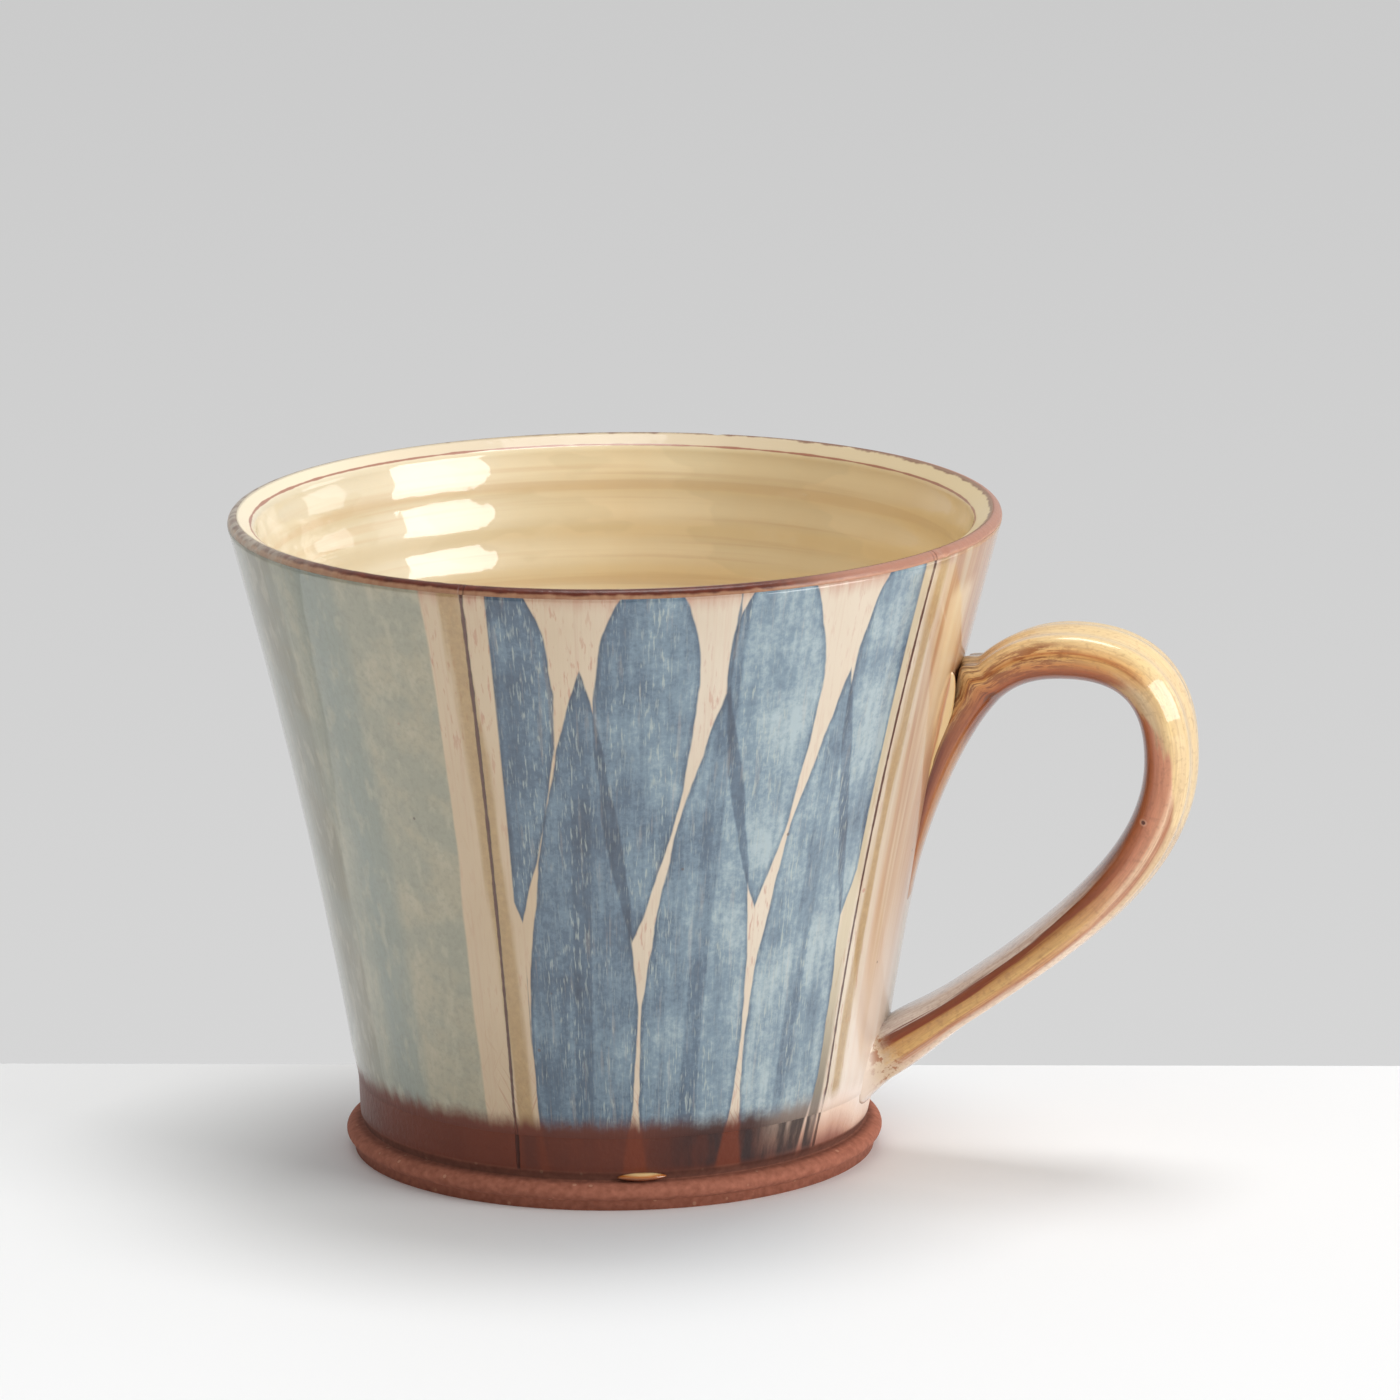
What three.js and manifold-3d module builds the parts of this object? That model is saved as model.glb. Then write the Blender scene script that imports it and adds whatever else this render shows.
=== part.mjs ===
// A flared earthenware mug, thrown on a wheel, with a pulled strap handle. Millimetres, +Z up.
// It stands on z = 0 with its axis on Z, and its handle points along +X.
import * as THREE from 'three';
import { mergeVertices } from 'three/addons/utils/BufferGeometryUtils.js';
import Module from 'manifold-3d';

const wasm = await Module();
wasm.setup();

// The thrown body's outside
const bodyHeight = 88;
const lipRadius = 52;
const footRadius = 34.5;
const wallSag = 1.3;
const beadRadius = 36.4;
const beadHeight = 3.8;
const beadUndercut = -60;
const grooveRadius = 34.1;
const grooveHeight = 0.9;
const baseBevel = 1.1;

// The lip: a rounded outer edge and a bevel that falls towards the inside
const lipRound = 1.1;
const bevelWidth = 3.4;
const bevelDrop = 1.3;

// The body's inside
const footWall = 4.6;
const floorThickness = 6;
const floorCornerRadius = 9;
const ringPitch = 7;
const ringDepth = 0.4;
const ringCrest = 0.4;
const ringHollow = 0.8;

// Slip and glaze over the clay
const slipThickness = 0.4;
const slipEdgeHeight = 9.7;
const slipFeather = 0.8;

// The handle's centreline, in the XZ plane: up the wall, over the top, round and down to the joint
const tailHeight = 36;
const tailRise = 24;
const rootHeight = 60;
const crownReach = 62;
const crownHeight = 70.6;
const crownApproach = 12.5;
const crownSpread = 9.5;
const gripReach = 75.6;
const gripHeight = 56.5;
const gripRise = 9;
const gripFall = 17.5;
const heelHeight = 12.9;
const heelSlope = 35;
const heelRun = 24;
const heelDepth = 1.2;

// The strap's section at its tail, root, crown, grip, neck and heel, and its two grooves' depth
const tailWidth = 6;
const rootWidth = 12.5;
const crownWidth = 14;
const gripWidth = 14;
const neckShare = 0.88;
const neckWidth = 12.8;
const heelWidth = 13.5;
const tailThickness = 1.6;
const rootThickness = 5.8;
const crownThickness = 6.8;
const gripThickness = 6.9;
const neckThickness = 5.6;
const heelThickness = 8;
const strapGroove = 0.45;

// Clay worked into the joints
const coilTopHeight = 66;
const coilBottomHeight = 43;
const coilTopRadius = 1.6;
const coilBottomRadius = 0.9;
const coilEndShare = 0.97;
const coilProud = 0.25;
const coilAside = 0.33;
const padHeight = 7.4;
const padWidth = 8.8;
const padRise = 2.4;
const padLift = 2.4;

// The drop of glaze that stopped in the foot's groove
const dropTurn = -73;
const dropLength = 6.6;
const dropRadius = 1;

// Where a piece is cut to its neighbour, it stays this far off it
const seat = 0.3;

// Fineness of the round and the lofted pieces
const turnSteps = 44;
const wallSteps = 7;
const roundSteps = 4;
const strapSteps = 40;
const coilSteps = 8;
const coilSides = 8;
const padSteps = [20, 12];
const dropSteps = [12, 8];
const weldDistance = 1e-4;

const grooveTop = beadHeight + grooveHeight;
const slipTop = bodyHeight - lipRound - slipThickness;
const lerp = THREE.MathUtils.lerp;

// The clay wall's outer radius: a cone from foot to lip that sags inwards between them
function wallRadius(z) {
  const rise = (z - grooveTop) / (slipTop - grooveTop);
  return lerp(footRadius, lipRadius - slipThickness, rise) - 4 * wallSag * rise * (1 - rise);
}

// The clay wall's inner radius: thick at the foot, as thin as the bevel is wide at the lip
function innerRadius(z) {
  const rise = (z - grooveTop) / (bodyHeight - bevelDrop - grooveTop);
  return wallRadius(Math.min(z, slipTop)) - lerp(footWall, bevelWidth - slipThickness, rise);
}

function arc(centreR, centreZ, radiusR, radiusZ, fromDegrees, toDegrees, steps) {
  return Array.from({ length: steps + 1 }, (_, i) => {
    const angle = THREE.MathUtils.degToRad(lerp(fromDegrees, toDegrees, i / steps));
    return new THREE.Vector2(centreR + radiusR * Math.cos(angle), centreZ + radiusZ * Math.sin(angle));
  });
}

const point = (r, z) => new THREE.Vector2(r, z);

// Levels of the wall that the slip covers; the body and its coat share them
const slipLevels = Array.from({ length: wallSteps + 1 }, (_, i) => lerp(slipEdgeHeight, slipTop, i / wallSteps));

function footProfile() {
  const beadMiddle = (baseBevel + beadHeight) / 2;
  const beadDepth = beadRadius - grooveRadius;
  const beadRise = beadHeight - beadMiddle;
  const bead = arc(grooveRadius, beadMiddle, beadDepth, beadRise, beadUndercut, 90, roundSteps);
  return [point(0, 0), point(beadRadius - baseBevel, 0), ...bead, point(footRadius, grooveTop)];
}

function lipProfile() {
  const edge = arc(lipRadius - lipRound, bodyHeight - lipRound, lipRound, lipRound, 0, 90, roundSteps);
  return [...edge, point(lipRadius - bevelWidth, bodyHeight - bevelDrop)];
}

// The inside from the bevel down to the floor's middle, with one throwing ring at each pitch
function insideProfile() {
  const floorCorner = arc(
    innerRadius(floorThickness + floorCornerRadius) - floorCornerRadius,
    floorThickness + floorCornerRadius,
    floorCornerRadius,
    floorCornerRadius,
    0,
    -90,
    roundSteps,
  );
  const top = bodyHeight - bevelDrop;
  const bottom = floorThickness + floorCornerRadius;
  const rings = Math.floor((top - bottom) / ringPitch);
  const wall = [];
  for (let ring = 0; ring < rings; ring += 1) {
    const crest = top - (ring + ringCrest) * ringPitch;
    const hollow = top - (ring + ringHollow) * ringPitch;
    wall.push(point(innerRadius(crest) - ringDepth / 2, crest));
    wall.push(point(innerRadius(hollow) + ringDepth / 2, hollow));
  }
  return [...wall, ...floorCorner, point(0, floorThickness)];
}

// The same line moved into the hollow by the coat's thickness, square to the line
function offsetInwards(line, distance) {
  return line.map((here, i) => {
    const before = line[Math.max(i - 1, 0)];
    const after = line[Math.min(i + 1, line.length - 1)];
    const along = after.clone().sub(before).normalize();
    const moved = here.clone().add(point(along.y, -along.x).multiplyScalar(distance));
    return point(Math.max(moved.x, 0), moved.y);
  });
}

function turned(profile) {
  const geometry = new THREE.LatheGeometry(profile, turnSteps);
  geometry.rotateX(Math.PI / 2);
  return geometry;
}

function toSolid(geometry) {
  const bare = geometry.clone();
  bare.deleteAttribute('normal');
  bare.deleteAttribute('uv');
  const merged = mergeVertices(bare, weldDistance);
  const index = merged.index.array;
  const triangles = [];
  for (let i = 0; i < index.length; i += 3) {
    const [a, b, c] = [index[i], index[i + 1], index[i + 2]];
    if (a !== b && b !== c && c !== a) triangles.push(a, b, c);
  }
  const mesh = new wasm.Mesh({
    numProp: 3,
    vertProperties: new Float32Array(merged.attributes.position.array),
    triVerts: new Uint32Array(triangles),
  });
  return new wasm.Manifold(mesh);
}

function toGeometry(solid) {
  const mesh = solid.getMesh();
  const geometry = new THREE.BufferGeometry();
  geometry.setAttribute('position', new THREE.BufferAttribute(mesh.vertProperties, 3));
  geometry.setIndex(new THREE.BufferAttribute(mesh.triVerts, 1));
  geometry.computeVertexNormals();
  return geometry;
}

// Closed skin over rings of points that all have the same count, capped at both ends
function loft(rings) {
  const count = rings[0].length;
  const positions = rings.flat().flatMap((corner) => corner.toArray());
  const index = [];
  for (let ring = 0; ring < rings.length - 1; ring += 1) {
    for (let i = 0; i < count; i += 1) {
      const a = ring * count + i;
      const b = ring * count + ((i + 1) % count);
      index.push(a, b, a + count, b, b + count, a + count);
    }
  }
  const last = (rings.length - 1) * count;
  for (let i = 1; i < count - 1; i += 1) {
    index.push(0, i + 1, i);
    index.push(last, last + i, last + i + 1);
  }
  const geometry = new THREE.BufferGeometry();
  geometry.setAttribute('position', new THREE.Float32BufferAttribute(positions, 3));
  geometry.setIndex(index);
  return geometry;
}

// Everything inside the wall's outer skin, grown by a margin: it cuts what is joined to the wall
function wallCutter(margin) {
  const foot = footProfile().slice(2).map((p) => point(p.x + margin, p.y));
  const wall = slipLevels.map((z) => point(wallRadius(z) + margin, z));
  return toSolid(turned([point(0, -margin), point(beadRadius, -margin), ...foot, ...wall, point(0, slipTop)]));
}

// The strap's centreline, drawn as three curves that meet without a corner
function strapLine() {
  const flat = (x, z) => new THREE.Vector3(x, 0, z);
  const wallLean = wallRadius(tailHeight + 1) - wallRadius(tailHeight);
  const tail = flat(wallRadius(tailHeight) - tailThickness / 2 + slipThickness, tailHeight);
  const crown = flat(crownReach, crownHeight);
  const grip = flat(gripReach, gripHeight);
  const slope = THREE.MathUtils.degToRad(heelSlope);
  const heel = flat(wallRadius(heelHeight) - heelDepth, heelHeight);
  const line = new THREE.CurvePath();
  line.add(new THREE.CubicBezierCurve3(
    tail,
    flat(tail.x + tailRise * wallLean, tail.z + tailRise),
    flat(crown.x - crownApproach, crown.z),
    crown,
  ));
  line.add(new THREE.CubicBezierCurve3(
    crown,
    flat(crown.x + crownSpread, crown.z),
    flat(grip.x, grip.z + gripRise),
    grip,
  ));
  line.add(new THREE.CubicBezierCurve3(
    grip,
    flat(grip.x, grip.z - gripFall),
    flat(heel.x + heelRun * Math.cos(slope), heel.z + heelRun * Math.sin(slope)),
    heel,
  ));
  return line;
}

const strap = strapLine();
const strapLengths = strap.getCurveLengths();
const crownShare = strapLengths[0] / strapLengths[2];
const gripShare = strapLengths[1] / strapLengths[2];
const rootShare = crownShare * (rootHeight - tailHeight) / (crownHeight - tailHeight);

const strapStations = [
  { share: 0, width: tailWidth, thickness: tailThickness },
  { share: rootShare, width: rootWidth, thickness: rootThickness },
  { share: crownShare, width: crownWidth, thickness: crownThickness },
  { share: gripShare, width: gripWidth, thickness: gripThickness },
  { share: neckShare, width: neckWidth, thickness: neckThickness },
  { share: 1, width: heelWidth, thickness: heelThickness },
];

// The strap's width or thickness at a share of its length, easing from one station to the next
function alongStrap(share, size) {
  const next = Math.max(strapStations.findIndex((station) => station.share >= share), 1);
  const [from, to] = [strapStations[next - 1], strapStations[next]];
  return lerp(from[size], to[size], THREE.MathUtils.smoothstep(share, from.share, to.share));
}

// The strap's section: a rounded band whose outer face has a ridge down the middle and one at each
// edge, with a groove between them, as wet fingers leave it. Each corner is a share of the half
// width and of the half thickness; a depth of 1 marks a groove.
const strapSection = [
  { across: 1, out: 0, groove: 0 },
  { across: 0.92, out: 0.62, groove: 0 },
  { across: 0.68, out: 1, groove: 0 },
  { across: 0.36, out: 1, groove: 1 },
  { across: 0, out: 1.06, groove: 0 },
  { across: -0.36, out: 1, groove: 1 },
  { across: -0.68, out: 1, groove: 0 },
  { across: -0.92, out: 0.62, groove: 0 },
  { across: -1, out: 0, groove: 0 },
  { across: -0.9, out: -0.58, groove: 0 },
  { across: -0.6, out: -0.9, groove: 0 },
  { across: 0, out: -1, groove: 0 },
  { across: 0.6, out: -0.9, groove: 0 },
  { across: 0.9, out: -0.58, groove: 0 },
];

function strapRing(share, margin) {
  const centre = strap.getPointAt(share);
  const tangent = strap.getTangentAt(share);
  const outwards = new THREE.Vector3(-tangent.z, 0, tangent.x);
  const halfWidth = alongStrap(share, 'width') / 2 + margin;
  const halfThickness = alongStrap(share, 'thickness') / 2 + margin;
  return strapSection.map(({ across, out, groove }) => {
    const lift = out * halfThickness - groove * strapGroove;
    return centre.clone().addScaledVector(outwards, lift).setY(across * halfWidth);
  });
}

function strapSolid(margin) {
  const rings = Array.from({ length: strapSteps + 1 }, (_, i) => strapRing(i / strapSteps, margin));
  return toSolid(loft(rings));
}

const wallSeat = wallCutter(seat);
const coatSeat = wallCutter(slipThickness + seat);
const strapSeat = strapSolid(seat);

function bodyGeometry() {
  const wall = slipLevels.map((z) => point(wallRadius(z), z));
  return turned([...footProfile(), ...wall, ...lipProfile(), ...insideProfile()]);
}

function outerSlipGeometry() {
  const back = slipLevels.map((z) => point(wallRadius(z), z));
  const face = slipLevels.slice(1, -1).map((z) => point(wallRadius(z) + slipThickness, z));
  const lower = slipEdgeHeight + slipFeather;
  const upper = slipTop - slipFeather / 2;
  const front = [
    point(wallRadius(lower) + slipThickness, lower),
    ...face,
    point(wallRadius(upper) + slipThickness, upper),
  ];
  const coat = toSolid(turned([back[0], ...front, ...back.slice(1).reverse(), back[0]]));
  return toGeometry(coat.subtract(strapSeat));
}

function innerSlipGeometry() {
  const bevel = lipProfile().slice(-2);
  const back = [...bevel, ...insideProfile()];
  const front = offsetInwards(back, slipThickness);
  return turned([...back.reverse(), ...front.slice(1)]);
}

function handleGeometry() {
  return toGeometry(strapSolid(0).subtract(wallSeat));
}

// A coil of clay in the corner between the root's side and the wall, thinner towards the tail and
// rounded off at both ends
function seamCoilGeometry(side) {
  const rings = Array.from({ length: coilSteps + 1 }, (_, i) => {
    const swing = -Math.cos((i / coilSteps) * Math.PI);
    const rise = (1 + swing) / 2;
    const z = lerp(coilBottomHeight, coilTopHeight, rise);
    const roundOff = Math.sqrt(1 - (coilEndShare * swing) ** 6);
    const radius = lerp(coilBottomRadius, coilTopRadius, rise) * roundOff;
    const halfWidth = alongStrap(rootShare * (z - tailHeight) / (rootHeight - tailHeight), 'width') / 2;
    const reach = wallRadius(z) + slipThickness + radius * coilProud;
    const turn = side * Math.asin((halfWidth + radius * coilAside) / reach);
    return Array.from({ length: coilSides }, (_, k) => {
      const angle = (k / coilSides) * 2 * Math.PI;
      const r = reach + radius * Math.cos(angle);
      const sideways = turn + (radius * Math.sin(angle)) / reach;
      return new THREE.Vector3(r * Math.cos(sideways), r * Math.sin(sideways), z);
    });
  });
  return toGeometry(toSolid(loft(rings)).subtract(strapSeat).subtract(coatSeat));
}

// The collar of clay smeared round the strap's lower end
function lowerPadGeometry() {
  const padMiddle = heelHeight + padLift;
  const wallLean = wallRadius(padMiddle + 1) - wallRadius(padMiddle);
  const geometry = new THREE.SphereGeometry(1, ...padSteps);
  geometry.scale(padRise, padWidth, padHeight);
  geometry.rotateY(Math.atan(wallLean));
  geometry.translate(wallRadius(padMiddle), 0, padMiddle);
  return toGeometry(toSolid(geometry).subtract(strapSeat).subtract(coatSeat));
}

function glazeDropGeometry() {
  const geometry = new THREE.SphereGeometry(1, ...dropSteps);
  geometry.scale(dropRadius, dropLength / 2, dropRadius);
  geometry.translate(grooveRadius + seat + dropRadius / 2, 0, beadHeight + grooveHeight / 2);
  geometry.rotateZ(THREE.MathUtils.degToRad(dropTurn));
  return toGeometry(toSolid(geometry).subtract(wallSeat));
}

const clay = { color: 0x9a5238, roughness: 0.85, metalness: 0 };
const slip = { color: 0xe9d9bb, roughness: 0.18, metalness: 0 };
const honeySlip = { color: 0xe3cb94, roughness: 0.18, metalness: 0 };
const streakedSlip = { color: 0xc68d54, roughness: 0.18, metalness: 0 };
const amber = { color: 0xa4550f, roughness: 0.08, metalness: 0 };

const mug = new THREE.Group();

function addPiece(name, geometry, finish) {
  const mesh = new THREE.Mesh(geometry, new THREE.MeshStandardMaterial(finish));
  mesh.name = name;
  mug.add(mesh);
}

addPiece('body', bodyGeometry(), clay);
addPiece('handle', handleGeometry(), streakedSlip);
addPiece('near_seam_coil', seamCoilGeometry(-1), slip);
addPiece('far_seam_coil', seamCoilGeometry(1), slip);
addPiece('lower_joint_pad', lowerPadGeometry(), slip);
addPiece('outer_slip_coat', outerSlipGeometry(), slip);
addPiece('inner_slip_coat', innerSlipGeometry(), honeySlip);
addPiece('glaze_bead', glazeDropGeometry(), amber);

export default mug;
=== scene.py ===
import math

import bmesh
import bpy
from mathutils import Matrix, Vector, noise


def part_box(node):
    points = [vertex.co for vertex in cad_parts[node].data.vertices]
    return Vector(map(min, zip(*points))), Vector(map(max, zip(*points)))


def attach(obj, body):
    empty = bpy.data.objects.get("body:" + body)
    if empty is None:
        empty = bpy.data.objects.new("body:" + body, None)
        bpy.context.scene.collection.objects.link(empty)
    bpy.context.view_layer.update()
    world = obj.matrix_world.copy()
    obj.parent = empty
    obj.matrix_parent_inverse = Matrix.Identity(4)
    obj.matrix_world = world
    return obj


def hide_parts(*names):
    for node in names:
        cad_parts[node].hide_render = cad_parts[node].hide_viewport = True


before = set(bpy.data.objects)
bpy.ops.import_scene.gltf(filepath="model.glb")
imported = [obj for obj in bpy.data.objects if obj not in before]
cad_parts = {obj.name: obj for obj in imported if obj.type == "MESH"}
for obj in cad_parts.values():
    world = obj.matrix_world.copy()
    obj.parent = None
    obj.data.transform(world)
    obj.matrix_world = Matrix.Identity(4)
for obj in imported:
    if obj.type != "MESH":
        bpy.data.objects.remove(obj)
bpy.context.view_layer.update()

# The body is one pot of red earthenware, thrown on a wheel. Its foot is trimmed to a bead with a
# groove over it, and its lip is rounded outside and bevelled towards the inside. Below the slip
# the clay is burnished smooth, and the bead is bare and grainy.
mug_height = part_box("body")[1].z
lip_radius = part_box("body")[1].x
foot_radius = 0.0345
wall_sag = 0.0013
bead_radius = 0.0364
bead_height = 0.0038
groove_radius = 0.0341
groove_top = 0.0047
base_bevel = 0.0011
lip_round = 0.0011
bevel_width = 0.0034
bevel_foot = mug_height - 0.0013
foot_wall = 0.0046
floor_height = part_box("inner_slip_coat")[0].z
slip_thickness = 0.0004
slip_top = mug_height - lip_round - slip_thickness
slip_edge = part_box("outer_slip_coat")[0].z
floor_corner = 0.009


def mixed(low, high, share):
    return low + (high - low) * share


def eased(low, high, value):
    """0 below low, 1 above high and a smooth step between them."""
    share = min(max((value - low) / (high - low), 0), 1)
    return share * share * (3 - 2 * share)


def wall_radius(height):
    """The clay wall's outer radius: a cone from foot to lip that sags inwards between them."""
    rise = (height - groove_top) / (slip_top - groove_top)
    cone = mixed(foot_radius, lip_radius - slip_thickness, rise)
    return cone - 4 * wall_sag * rise * (1 - rise)


def inner_radius(height):
    """The clay wall's inner radius: thick at the foot, as thin as the bevel is wide at the lip."""
    rise = (height - groove_top) / (bevel_foot - groove_top)
    thickness = mixed(foot_wall, bevel_width - slip_thickness, rise)
    return wall_radius(min(height, slip_top)) - thickness


def levels(low, high, count):
    return [mixed(low, high, step / count) for step in range(count + 1)]


def arc(centre, radii, degrees, steps):
    """Points (radius, height) on an ellipse's arc about a centre in the turned profile."""
    angles = [math.radians(angle) for angle in levels(*degrees, steps)]
    return [(centre[0] + radii[0] * math.cos(a), centre[1] + radii[1] * math.sin(a)) for a in angles]


foot_lean = Vector((-0.00068, -0.00013, 0))
rim_tilt = 0.0045
wobble = 0.00016
wobbles_round, wobbles_up = 22, 14
foot_lean_low, foot_lean_high = 0.004, 0.012
lip_chips = [(-22, 0.0006, 0.0013), (84.7, 0.0007, 0.0016), (-158, 0.0004, 0.0012), (-146, 0.0003, 0.001)]


def on_lip(degrees):
    turn = math.radians(degrees)
    return Vector((lip_radius * math.cos(turn), lip_radius * math.sin(turn), mug_height))


def uneven(spot):
    """Moves a point of the true round form to where a hand-thrown pot has it."""
    rise = spot.z / mug_height
    moved = spot + foot_lean * (1 - eased(foot_lean_low, foot_lean_high, spot.z))
    sway = noise.noise(Vector((spot.x * wobbles_round, spot.y * wobbles_round, spot.z * wobbles_up)))
    outward = Vector((spot.x, spot.y, 0)).normalized()
    moved += outward * (wobble * sway * eased(0, 0.02, spot.z))
    moved.z += rim_tilt * spot.x * rise
    for turn, depth, reach in lip_chips:
        moved.z -= depth * (1 - eased(0.2 * reach, reach, (spot - on_lip(turn)).length))
    return moved


def spun(profile, axis, steps):
    """A bmesh of a profile of (x, z) spun once round an axis. A profile clear of the axis is closed."""
    bm = bmesh.new()
    corners = [bm.verts.new((x, 0, z)) for x, z in profile]
    edges = [bm.edges.new(pair) for pair in zip(corners, corners[1:])]
    if profile[0][0] > 0:
        edges.append(bm.edges.new((corners[-1], corners[0])))
    whole = {"cent": (0, 0, 0), "angle": math.tau, "use_merge": True}
    bmesh.ops.spin(bm, geom=corners + edges, axis=axis, steps=steps, **whole)
    bmesh.ops.remove_doubles(bm, verts=bm.verts, dist=1e-6)
    return bm


def turned(name, profile, steps):
    """Turns a profile of (radius, height) on the wheel, then moves each point to where a hand-thrown pot
    has it.
    """
    bm = spun(profile, (0, 0, 1), steps)
    for vert in bm.verts:
        vert.co = uneven(vert.co)
    return finished(name, bm)


def in_scene(name, data):
    thing = bpy.data.objects.new(name, data)
    bpy.context.scene.collection.objects.link(thing)
    return thing


def finished(name, bm):
    """Closes a bmesh into a smooth object at the origin, with its faces pointing out."""
    bmesh.ops.recalc_face_normals(bm, faces=bm.faces)
    for face in bm.faces:
        face.smooth = True
    mesh = bpy.data.meshes.new(name)
    bm.to_mesh(mesh)
    bm.free()
    return in_scene(name, mesh)


def seat_piece(piece, slot, finish, *nodes):
    """Lets a piece ride on the mug, hides the nodes it stands for, and glazes it. Its slot is not used."""
    piece.data.materials.append(finish)
    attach(piece, "root")
    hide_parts(*nodes)


def foot_profile():
    middle = (base_bevel + bead_height) / 2
    radii = (bead_radius - groove_radius, bead_height - middle)
    bead = arc((groove_radius, middle), radii, (-60, 90), 14)
    return [(0, 0), (0.02, 0), (bead_radius - base_bevel, 0), *bead, (foot_radius, groove_top)]


def lip_profile():
    """The lip's round outer edge, and its bevel, which lies just under the inner coat."""
    under_coat = 0.0003
    centre = (lip_radius - lip_round, mug_height - lip_round)
    edge = arc(centre, (lip_round, lip_round), (0, 90), 10)
    inner_edge = (lip_radius - bevel_width + under_coat, bevel_foot - under_coat)
    return [*edge, (centre[0] - under_coat, mug_height - under_coat), inner_edge]


def body_profile():
    above_groove, below_lip = 0.006, 0.08
    outside = [(wall_radius(z), z) for z in levels(above_groove, slip_top, 16)]
    bottom = floor_height + floor_corner
    inside = [(inner_radius(z), z) for z in levels(below_lip, bottom, 8)]
    corner = arc((inside[-1][0] - floor_corner, bottom), (floor_corner, floor_corner), (0, -90), 12)
    return [*foot_profile(), *outside, *lip_profile(), *inside, *corner[1:], (0, floor_height)]


def paint(red, green, blue):
    """The linear colour of a glaze chip read in sRGB, 0 to 255."""
    return [*(((part / 255 + 0.055) / 1.055) ** 2.4 for part in (red, green, blue)), 1]


class Recipe:
    """The node tree of a finish or a room. Each method adds a node and returns its result's socket."""

    def __init__(self, holder):
        holder.use_nodes = True
        self.holder = holder
        self.nodes = holder.node_tree.nodes
        self.links = holder.node_tree.links

    def add(self, kind, inputs, output=0, **settings):
        node = self.nodes.new("ShaderNode" + kind)
        for name, value in settings.items():
            setattr(node, name, value)
        for key, value in inputs.items():
            self.feed(node.inputs[key], value)
        return node.outputs[output]

    def feed(self, socket, value):
        if isinstance(value, bpy.types.NodeSocket):
            self.links.new(value, socket)
        else:
            socket.default_value = value

    def parts(self, vector):
        return self.add("SeparateXYZ", {0: vector}).node.outputs

    def math(self, operation, *values, clamp=False):
        return self.add("Math", dict(enumerate(values)), operation=operation, use_clamp=clamp)

    def vector(self, operation, *values, output=0):
        return self.add("VectorMath", dict(enumerate(values)), output, operation=operation)

    def scaled(self, vector, x, y, z):
        return self.vector("MULTIPLY", vector, (x, y, z))

    def share(self, value, low, high):
        """Where a value lies between low and high, from 0 to 1."""
        return self.add("MapRange", {"Value": value, 1: low, 2: high})

    def step(self, value, low, high, start=0, end=1):
        """Start below low, end above high, and a smooth step between them."""
        inputs = {"Value": value, 1: low, 2: high, 3: start, 4: end}
        return self.add("MapRange", inputs, interpolation_type="SMOOTHSTEP")

    def fade(self, value, low, high, start=1):
        """A step down to nothing."""
        return self.step(value, low, high, start, 0)

    def times(self, first, second):
        return self.math("MULTIPLY", first, second)

    def less(self, value, by):
        return self.math("SUBTRACT", value, by)

    def nudged(self, by, share, value):
        """A value moved by a share of another."""
        return self.math("MULTIPLY_ADD", by, share, value)

    def away(self, value, middle):
        """How far a value is from a middle, to either side."""
        return self.math("ABSOLUTE", self.less(value, middle))

    def blend(self, share, first, second, blend_type="MIX"):
        """A mix of two colours, each a node's result or a tone of red, green and blue."""
        first, second = (paint(*tone) if isinstance(tone, tuple) else tone for tone in (first, second))
        inputs = {0: share, 6: first, 7: second}
        return self.add("Mix", inputs, output=2, data_type="RGBA", blend_type=blend_type)

    def over(self, colour, share, tone, strength=None):
        """A colour with a tone laid over it, where the share is and as strongly as it says."""
        if strength is not None:
            share = self.times(share, strength)
        return self.blend(share, colour, tone)

    def noise(self, place, scale, detail, roughness=0.5):
        inputs = {"Vector": place, "Scale": scale, "Detail": detail, "Roughness": roughness}
        return self.add("TexNoise", inputs)

    def drawn(self, place, counts, detail, roughness=0.5):
        """Grain drawn out along an axis, so many marks a metre along each."""
        return self.noise(self.scaled(place, *counts), 1, detail, roughness)

    def ramp(self, value, stops):
        """Colours set out along a value, each stop a share and its sRGB colour."""
        ramp = self.add("ValToRGB", {0: value}).node
        points = ramp.color_ramp.elements
        for share, *_ in stops[2:]:
            points.new(share)
        for point, (share, *tone) in zip(points, stops):
            point.position = share
            point.color = paint(*tone)
        return ramp.outputs[0]


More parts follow.
